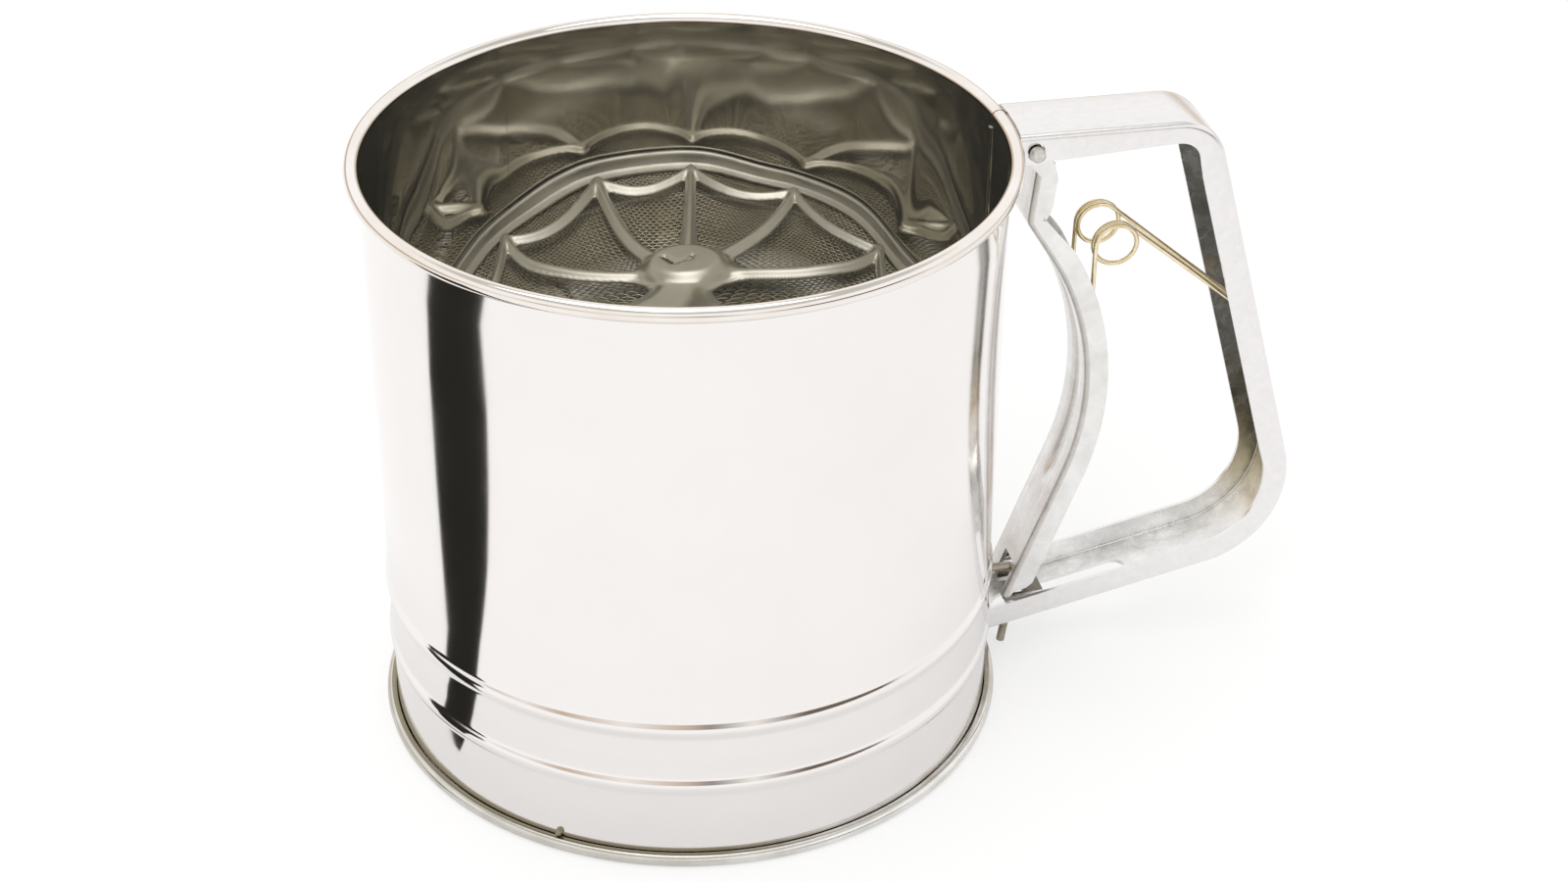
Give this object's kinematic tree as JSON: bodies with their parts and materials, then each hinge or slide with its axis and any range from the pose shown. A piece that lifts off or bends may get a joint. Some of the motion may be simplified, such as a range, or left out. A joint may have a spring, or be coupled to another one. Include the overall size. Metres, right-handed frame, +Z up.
{
  "type": "squeeze-handle flour sifter",
  "caption": "Polished steel sifter cup with a wire screen near its foot, a stamped agitator wheel, and a channel handle with a sprung squeeze trigger linked to the wheel.",
  "frame": {"origin": "middle of the bounding box, on the plane the foot roll rests on; the cup's axis is 31.486 mm towards -X", "axes": "+X from the cup towards the handle, +Z up along the cup's axis, +Y away from a viewer who sees the handle on the right"},
  "size_m": [0.193, 0.13, 0.1247],
  "materials": {
    "mirror_steel": "mirror polished stainless sheet",
    "satin_steel": "satin stainless sheet and wire",
    "stamped_steel": "bright stamped steel",
    "screen_steel": "woven stainless wire",
    "spring_steel": "gold-tinted plated spring wire"
  },
  "bodies": {
    "frame": {"cup_body": "mirror_steel", "screen_mesh": "screen_steel", "screen_hoop": "stamped_steel", "screen_eyelet": "stamped_steel", "bridge_bar": "stamped_steel", "handle": "satin_steel", "return_spring": "spring_steel"},
    "trigger": {"trigger": "satin_steel", "trigger_pin": "satin_steel"},
    "agitator": {"agitator_wheel": "stamped_steel", "agitator_shaft": "stamped_steel", "wheel_washer": "satin_steel", "drive_lever": "stamped_steel", "lever_spacer": "stamped_steel", "shaft_push_nut": "satin_steel"},
    "link": {"link_rod": "satin_steel"}
  },
  "joints": [
    {"name": "trigger_squeeze", "type": "hinge", "parent": "frame", "child": "trigger", "pos_m": [0.03611, 0, 0.1209], "axis": [0, -1, 0], "range_deg": [0, 13.5], "stiffness_Nm_per_rad": 1.2, "springref_deg": -20.05, "deforming": ["return_spring"]},
    {"name": "agitator_turn", "type": "hinge", "parent": "frame", "child": "agitator", "pos_m": [-0.03149, 0, 0.03], "axis": [0, 0, -1], "range_deg": [0, 46]},
    {"name": "link_swing", "type": "hinge", "parent": "agitator", "child": "link", "pos_m": [-0.04318, 0.02763, 0.0203], "axis": [0, 0, 1], "range_deg": [0, 46]}
  ],
  "couplings": [
    {"joint": "agitator_turn", "follows": "trigger_squeeze", "ratio": 3.4},
    {"joint": "link_swing", "follows": "trigger_squeeze", "ratio": 3.4}
  ]
}
